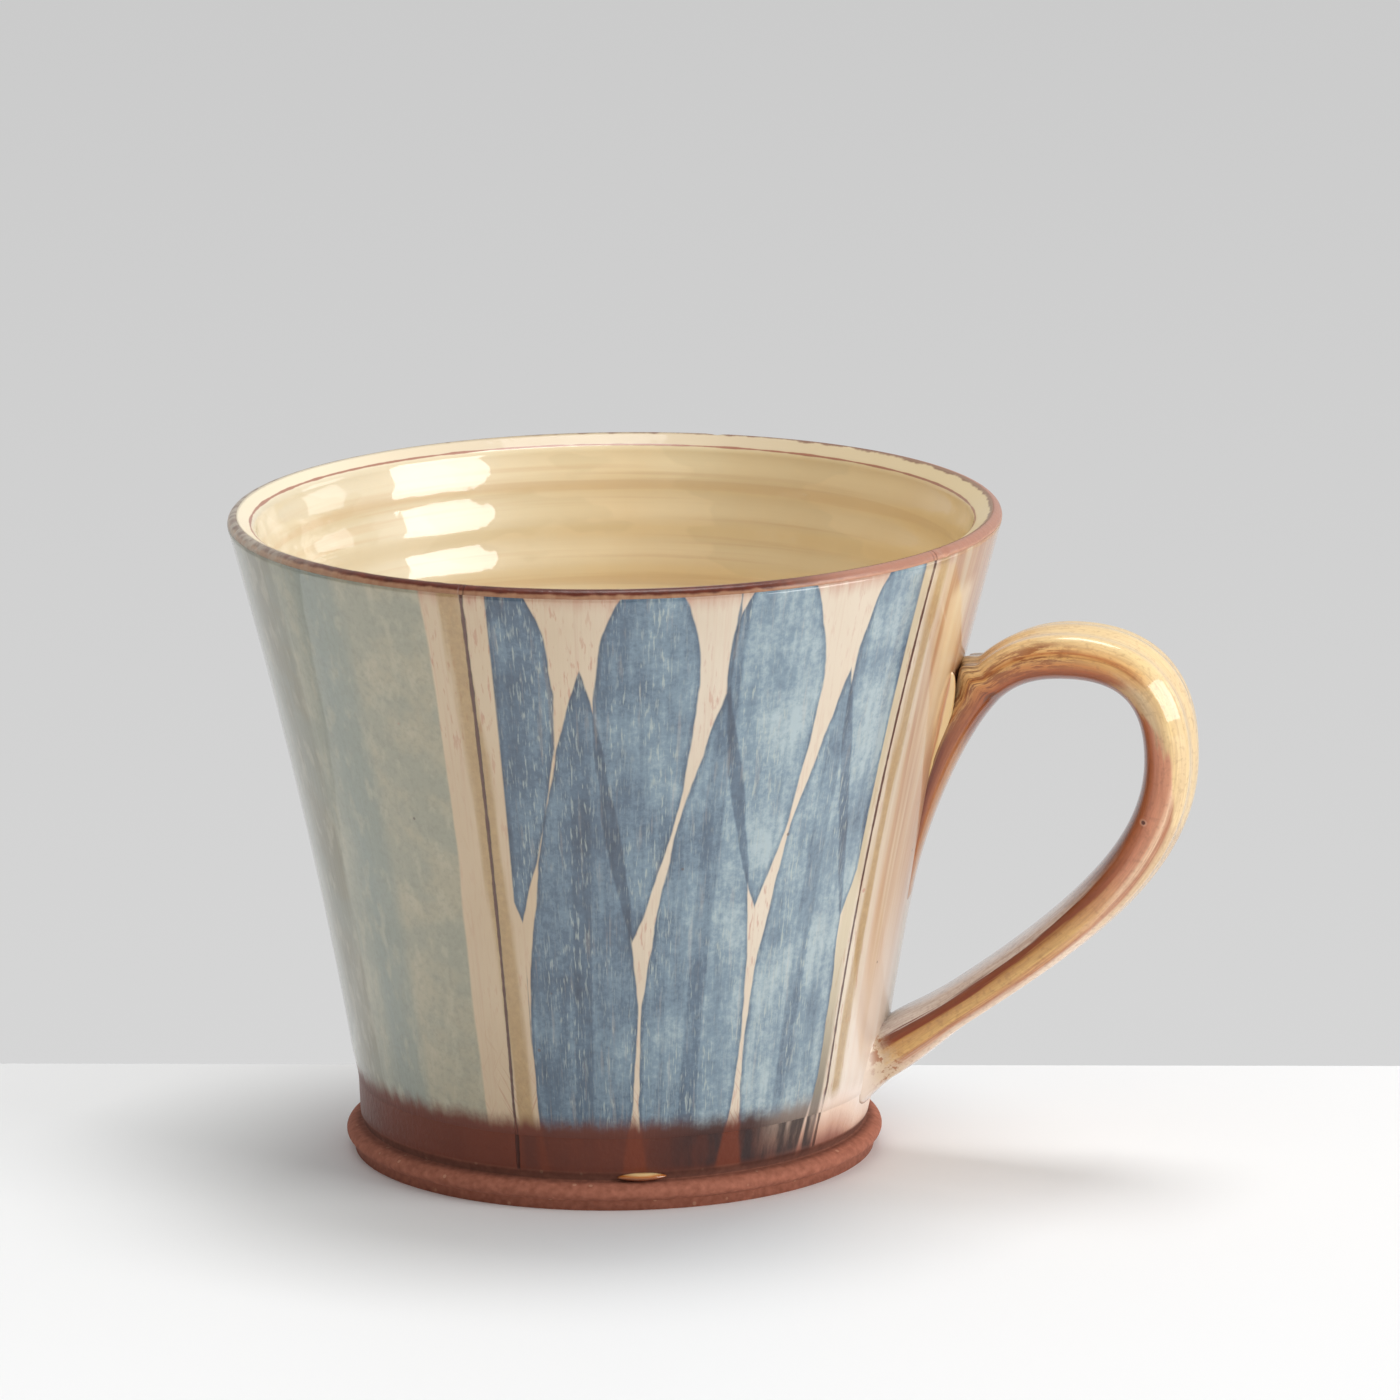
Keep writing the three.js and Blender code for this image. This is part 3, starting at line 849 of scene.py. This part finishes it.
def ground_colour(slip):
    """Cream slip in thin and thick places, painted shade on the left and light on the right, scratched low
    down, and streaked by the handle.
    """
    cloud = slip.grain(55, 4)
    # Painted shade and light: the cream is darker and yellower on the left, and paler and whiter on the
    # right.
    left = slip.blend(cloud, (202, 174, 138), (218, 196, 164))
    right = slip.blend(cloud, (210, 190, 164), (228, 214, 194))
    cream = slip.blend(slip.step(slip.side, 1.4, 2.1), left, right)
    upright = slip.step(slip.streaks(2400, 60, 4), 0.5, 0.75, 0, 0.25)
    cream = slip.over(cream, upright, (196, 148, 122))
    patchy = slip.step(cloud, 0.45, 0.6, 0.1, 0.5)
    rubbed = slip.times(slip.step(slip.streaks(2200, 420, 4), 0.55, 0.68), patchy)
    cream = slip.over(cream, rubbed, (182, 112, 88))
    climbing = slip.scratches(0.7, 2300, 90, 0.58, 0.66)
    falling = slip.scratches(-0.5, 2500, 90, 0.62, 0.7)
    by_foot = slip.fade(slip.nudged(cloud, 0.03, slip.height), 0.026, 0.04, 0.5)
    hatched = slip.times(slip.math("MAXIMUM", climbing, falling), by_foot)
    cream = slip.over(cream, hatched, (182, 124, 100))
    thin = slip.nudged(slip.streaks(900, 60, 4), 0.004, slip.height)
    thin = slip.step(thin, slip_top, slip_top + 0.0036, 0, 0.8)
    cream = slip.over(cream, thin, (186, 128, 102))
    darker = slip.fade(slip.height, 0.008, 0.04)
    olive = slip.blend(darker, (196, 182, 142), (108, 98, 84))
    khaki = slip.times(slip.khaki_stripe(), slip.nudged(darker, 0.45, 0.5))
    cream = slip.blend(khaki, cream, olive)
    near = slip.nudged(slip.streaks(160, 12), 0.1, slip.beside_line(1))
    zone = slip.step(near, 0.11, 0.18)
    rosy = slip.nudged(slip.streaks(120, 20), 0.02, slip.height)
    rosy = slip.step(rosy, 0.024, 0.075)
    wiped = slip.streaks(300, 12, 3)
    pales = [(0.3, 230, 216, 202), (0.5, 226, 206, 188), (0.62, 220, 196, 172), (0.75, 232, 218, 206)]
    tans = [(0.34, 206, 184, 150), (0.46, 196, 156, 116), (0.56, 180, 130, 92), (0.7, 214, 190, 154)]
    tongue = slip.away(near, 0.29)
    tongue = slip.times(slip.fade(tongue, 0.09, 0.13, 0.9), slip.step(rosy, 0, 0.6))
    low = slip.over(slip.ramp(wiped, pales), tongue, (212, 178, 138))
    tones = slip.blend(rosy, low, slip.ramp(wiped, tans))
    # Painted sheen: a pale band along the wall's edge close by the handle.
    edge = slip.step(near, 0.42, 0.6, 0, 0.8)
    tones = slip.over(tones, edge, (216, 200, 172))
    pink = slip.away(near, 0.38)
    pink = slip.times(slip.fade(pink, 0.04, 0.14, 0.5), slip.step(slip.height, 0.02, 0.05))
    tones = slip.over(tones, pink, (188, 132, 88))
    # Painted highlight: a pale upright band high on the wall beside the handle's root, as on a lit rib that
    # the wall doesn't have.
    ridge = slip.away(near, 0.27)
    top = slip.fade(slip.height, 0.08, 0.083)
    ridge = slip.times(slip.fade(ridge, 0.05, 0.1, 0.6), top)
    tones = slip.over(tones, slip.times(ridge, slip.step(slip.height, 0.05, 0.07)), (238, 216, 176))
    return slip.blend(zone, cream, tones)


def painted_glaze():
    """The outside's finish: painted cream slip, with lines scratched through it, under glaze."""
    slip = Brushwork("painted_slip_glaze")
    brush = slip.streaks(1700, 120, 4)
    mottle = slip.grain(1100, 5, 0.7)
    slip.colour = ground_colour(slip)
    bent = slip.less(slip.side, 0.045)
    bent = slip.nudged(slip.streaks(200, 22, 4), 0.09, bent)
    wash = [
        (0, 164, 168, 154), (0.36, 162, 164, 148), (0.43, 126, 124, 102), (0.55, 136, 132, 108),
        (0.57, 174, 172, 150), (0.68, 142, 152, 142), (0.76, 148, 154, 140), (0.8, 178, 170, 144),
        (0.95, 172, 164, 138),
    ]
    tint = slip.ramp(slip.math("DIVIDE", bent, wash_edge), wash)
    blotch = slip.step(slip.grain(90, 5, 0.6), 0.42, 0.6, 0, 0.5)
    tint = slip.over(tint, blotch, (138, 146, 132))
    pale = slip.step(slip.streaks(500, 260, 4), 0.5, 0.68, 0, 0.4)
    tint = slip.over(tint, pale, (192, 184, 158))
    tint = slip.over(tint, slip.step(mottle, 0.42, 0.7, 0, 0.3), (118, 122, 108))
    cover = slip.fade(bent, wash_edge - 0.006, wash_edge + 0.004, 0.94)
    slip.lay(cover, tint)
    rising, aside = slip.leaves(*blue_row)
    hanging, _ = slip.leaves(*hanging_row, hangs=True)
    crossing = slip.times(slip.step(rising, 0, 0.0004), slip.step(hanging, 0, 0.0004, 0, 0.2))
    inside = slip.math("MAXIMUM", rising, hanging)
    pooled = slip.fade(inside, 0.0001, 0.001, 0.16)
    doubled = slip.fade(slip.math("ABSOLUTE", aside), 0.0011, 0.0016, 0.1)
    thick = slip.math("ADD", slip.math("ADD", pooled, doubled), crossing)
    thick = slip.nudged(slip.grain(110, 4), 0.5, thick)
    thick = slip.nudged(slip.streaks(900, 90, 5), 0.3, slip.less(thick, 0.1))
    thick = slip.nudged(mottle, 0.36, slip.less(thick, 0.03))
    # Painted shade and light: the blue is made thicker, so darker, towards the left, and thinner towards
    # the right.
    thick = slip.math("ADD", thick, slip.step(slip.side, 1.5, 2.35, 0.13, -0.05))
    blues = [(0.3, 166, 182, 186), (0.45, 118, 140, 154), (0.6, 82, 103, 122), (0.82, 50, 65, 84)]
    blue = slip.ramp(thick, blues)
    dry = slip.step(slip.streaks(260, 60, 3), 0.45, 0.6, 0.2, 0.6)
    worn = slip.times(slip.step(slip.streaks(3600, 500, 6), 0.53, 0.68), dry)
    blue = slip.over(blue, worn, (182, 190, 180))
    cover = slip.times(slip.step(inside, 0, 0.0003), slip.step(brush, 0.3, 0.42, 0.86, 1))
    slip.lay(cover, blue)
    sandy = slip.blend(mottle, (140, 104, 52), (202, 166, 108))
    for cover in slip.ochre_stripes():
        slip.lay(cover, sandy, 0.8)
    scratch = slip.fade(slip.lines(), 0.00026, 0.00046)
    slip.lay(scratch, (82, 34, 16), 0.95)
    slip.lay(slip.specks(560, 0.16, 0.08), (88, 66, 54), 0.65)
    slip.lay(slip.specks(330, 0.13, 0.08), (196, 128, 112), 0.6)
    ragged = slip.nudged(slip.streaks(500, 90, 4), -0.0024, slip.height)
    ragged = slip.nudged(mottle, -0.001, ragged)
    thin = slip.fade(ragged, slip_edge - 0.0008, slip_edge + 0.0022)
    under = slip.blend(slip.grain(90, 3), *burnished_clay)
    low_cover, low_slip = slip.thin_slip()
    under = slip.blend(low_cover, under, low_slip)
    shaded = slip.times(slip.step(inside, 0, 0.0008), slip.step(slip.side, 1.8, 2.15, 0.27, 0.75))
    under = slip.over(under, shaded, (52, 42, 42))
    under = slip.over(under, slip.khaki_stripe(), (84, 74, 64), 0.8)
    slip.lay(thin, under)
    lump = slip.nudged(scratch, -4, slip.nudged(pooled, 2, brush))
    slip.glaze(60, 0.0003, slip.less(1, thin))
    return slip.finish(0.42, lump, 0.00006)


outer_coat = turned("outer_coat", outer_coat_profile(), 400)
seat_piece(outer_coat, "cream_slip", painted_glaze(), "outer_slip_coat")


# The inner coat is the same slip under a honey glaze. It covers the lip's bevel, and pools between
# the throwing rings of the wall and over the floor.
ring_pitch = 0.0058
ring_depth = 0.00029
first_ring = 0.31


def ringed(height):
    """The inner coat's radius, which the thrower's fingers left in hollow rings."""
    phase = (bevel_foot - height) / ring_pitch + first_ring
    return inner_radius(height) - slip_thickness - ring_depth / 2 * math.cos(math.tau * phase)


def inner_coat_profile():
    """From the floor's middle out, up the wall, over the bevel and back underneath."""
    bottom = floor_height + floor_corner
    wall = [(ringed(z), z) for z in levels(bottom, bevel_foot - 0.0003, 150)]
    middle = (wall[0][0] - floor_corner, bottom)
    corner = arc(middle, (floor_corner, floor_corner - slip_thickness), (-90, 0), 12)
    floor = [(corner[0][0] * share, floor_height + slip_thickness) for share in (0, 0.33, 0.66)]
    inner_edge = (lip_radius - bevel_width, bevel_foot)
    lip_top = (lip_radius - lip_round - 0.0001, mug_height + 0.00003)
    bevel = [tuple(Vector(inner_edge).lerp(Vector(lip_top), share)) for share in levels(0, 1, 6)]
    under = [(lip_top[0], mug_height - 0.0006), (inner_edge[0] + 0.0008, bevel_foot - 0.0006)]
    back = [(inner_radius(z) + 0.0002, z) for z in levels(bevel_foot - 0.002, bottom, 8)]
    middle = (back[-1][0] - floor_corner, bottom)
    below = arc(middle, (floor_corner, floor_corner + 0.0002), (0, -90), 12)
    return [*floor, *corner[:-1], *wall, *bevel, *under, *back, *below[1:], (0, floor_height - 0.0002)]


def honey_finish():
    honey = Finish("honey_glaze")
    cloud = honey.grain(60, 4)
    towards_handle = honey.share(honey.x, -lip_radius, lip_radius)
    thin = [(0.1, 232, 222, 196), (0.4, 250, 236, 198), (0.95, 242, 214, 158)]
    thick = [(0.1, 222, 206, 170), (0.4, 242, 216, 168), (0.95, 228, 192, 130)]
    honey.colour = honey.blend(cloud, honey.ramp(towards_handle, thick), honey.ramp(towards_handle, thin))
    pooled = honey.step(honey.drawn(honey.place, (40, 40, 110), 3), 0.53, 0.56)
    honey.lay(pooled, (206, 188, 142), 0.2)
    turns = honey.drawn(honey.place, (14, 14, 620), 5)
    lines = honey.step(turns, 0.52, 0.68)
    honey.lay(lines, (212, 174, 124), 0.35)
    bevel = honey.step(honey.height, bevel_foot - 0.0004, bevel_foot + 0.0002)
    # Painted shade: the bevel is darker across its middle, where its far side faces the camera.
    rims = [(0.06, 238, 226, 200), (0.3, 200, 180, 148), (0.6, 204, 184, 150), (0.95, 222, 198, 148)]
    rim = honey.over(honey.ramp(towards_handle, rims), cloud, (228, 208, 172), 0.5)
    honey.lay(bevel, rim)
    inner_edge = honey.away(honey.height, bevel_foot)
    broken = honey.nudged(honey.grain(240, 3), 0.00028, inner_edge)
    honey.lay(honey.fade(broken, 0.0002, 0.00028, 0.8), (150, 70, 44))
    outer_edge = honey.nudged(honey.grain(420, 4), -0.0007, honey.height)
    worn = honey.step(outer_edge, mug_height - 0.0005, mug_height - 0.0003)
    honey.lay(worn, (112, 54, 32), 0.8)
    honey.lay(honey.specks(330, 0.12, 0.07), (122, 84, 52), 0.75)
    honey.glaze(150, 0.00016, honey.nudged(bevel, -0.8, 1))
    return honey.finish(0.4, turns, 0.00004)


inner_coat = turned("inner_coat", inner_coat_profile(), 400)
seat_piece(inner_coat, "honey_slip", honey_finish(), "inner_slip_coat")


# A drop of amber glaze ran down the foot in the kiln, and set in the groove over the bead. It is
# long and low, and thick at its middle.
drop_turn = math.radians(-73)
drop_length = 0.0066
drop_radius = 0.001
drop_stand = 0.0006
drop_flatness = 0.55


def ran_drop():
    """A drop spun along a straight line, then flattened and bent round the foot."""
    swell = [(share, math.sin(math.pi * share) ** 0.6) for share in levels(0, 1, 24)]
    profile = [((share - 0.5) * drop_length, size * drop_radius) for share, size in swell]
    bm = spun(profile, (1, 0, 0), 24)
    low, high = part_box("glaze_bead")
    middle = (low.z + high.z) / 2
    for vert in bm.verts:
        turn = drop_turn + vert.co.x / groove_radius
        radius = groove_radius + drop_stand + vert.co.y
        height = middle + vert.co.z * drop_flatness
        vert.co = uneven(Vector((radius * math.cos(turn), radius * math.sin(turn), height)))
    return finished("ran_drop", bm)


def amber_finish():
    amber = Finish("amber_glaze")
    cloud = amber.grain(500, 3)
    rise = amber.share(amber.height, groove_top - 0.0005, groove_top + 0.0005)
    # The drop is darker low down, partly its own amber and partly painted shade, and nearly white high up,
    # a painted highlight.
    tones = [(0.1, 120, 58, 24), (0.5, 196, 116, 48), (0.72, 255, 226, 164), (0.95, 206, 140, 70)]
    amber.colour = amber.ramp(amber.nudged(cloud, 0.1, rise), tones)
    amber.glaze(100, 0.00001)
    return amber.finish(0.15, cloud, 0.00001)


drop = ran_drop()
seat_piece(drop, "amber_glaze", amber_finish(), "glaze_bead")


# The photographer's table is a plain white sheet. Its back edge lies close behind the mug, and
# runs a little askew to the picture.
view_turn = math.radians(11)
view_right = Vector((math.cos(view_turn), math.sin(view_turn), 0))
view_back = view_right.cross(up)
table_width = 4
edge_behind = 0.0397
edge_askew = math.radians(2.2)


def table_top():
    bm = bmesh.new()
    bmesh.ops.create_grid(bm, x_segments=1, y_segments=1, size=table_width / 2)
    edge_turn = Matrix.Rotation(view_turn - edge_askew, 3, "Z")
    bmesh.ops.translate(bm, vec=(0, edge_behind - table_width / 2, 0), verts=bm.verts)
    bmesh.ops.rotate(bm, cent=(0, 0, 0), matrix=edge_turn, verts=bm.verts)
    return finished("table", bm)


table = table_top()
table_finish = Finish("white_table")
table_finish.give("Base Color", paint(238, 238, 238))
table_finish.give("Roughness", 0.6)
table.data.materials.append(table_finish.holder)


# Soft lamps: a large one low on the right, one overhead, a little behind the mug, and a faint one
# behind on the right, which shows in the inside's glaze.
lamps_middle = up * 0.05


def softbox(name, direction, distance, width, height, watts):
    """A lamp in a direction given as right, towards the camera and up."""
    lamp = bpy.data.lights.new(name, "AREA")
    lamp.shape = "RECTANGLE"
    lamp.size, lamp.size_y = width, height
    lamp.energy = watts
    holder = in_scene(name, lamp)
    aim = (view_right * direction[0] + view_back * direction[1] + up * direction[2]).normalized()
    holder.location = aim * distance + lamps_middle
    holder.rotation_euler = aim.to_track_quat("Z", "Y").to_euler()


softbox("right_softbox", (0.87, 0.42, 0.35), 3.0, 1.7, 1.5, 50)
softbox("top_softbox", (0.1, -0.18, 1), 2.8, 1.3, 1.1, 36)
softbox("rear_softbox", (0.92, -0.39, 0.28), 3.0, 0.9, 0.9, 4.5)


# The room is plain and grey. The camera sees its wall a little paler lower down, and the glaze
# mirrors it darker below the table's level.
def studio_room():
    world = bpy.data.worlds.new("studio")
    bpy.context.scene.world = world
    room = Recipe(world)
    towards = room.add("TexCoord", {}, output="Generated")
    height = room.parts(towards)[2]

    def graded(low, high, below, above):
        return room.blend(room.share(height, low, high), below, above)

    soft = graded(0.1, 0.9, (166, 166, 166), (211, 211, 211))
    wall = graded(-0.26, -0.16, (214, 214, 214), (203, 203, 203))
    mirrored = graded(-0.12, 0.06, (60, 60, 60), (165, 165, 165))
    away = room.vector("DOT_PRODUCT", towards, -view_back, output="Value")
    mirrored = room.blend(room.step(away, 0.2, 0.7), mirrored, wall)
    path = room.add("LightPath", {}).node.outputs
    seen = room.blend(path["Is Glossy Ray"], soft, mirrored)
    seen = room.blend(path["Is Camera Ray"], seen, wall)
    room.feed(room.nodes["Background"].inputs["Color"], seen)


studio_room()


# The camera looks down on the mug from a long way off, through a long lens, and is turned a
# little clockwise.
eye_distance, eye_height = 1.4, 0.3856
aim_right, aim_height = 0.0113, 0.06145
camera_roll = math.radians(-0.35)
camera_data = bpy.data.cameras.new("camera")
camera = in_scene("camera", camera_data)
bpy.context.scene.camera = camera
camera_data.sensor_width = 36
camera_data.lens = 273.86
eye = view_back * eye_distance + up * eye_height
target = view_right * aim_right + up * aim_height
roll = Matrix.Rotation(camera_roll, 3, "Z")
looking = (eye - target).to_track_quat("Z", "Y").to_matrix()
camera.matrix_world = Matrix.Translation(eye) @ (looking @ roll).to_4x4()

bpy.context.scene.view_settings.view_transform = "Standard"
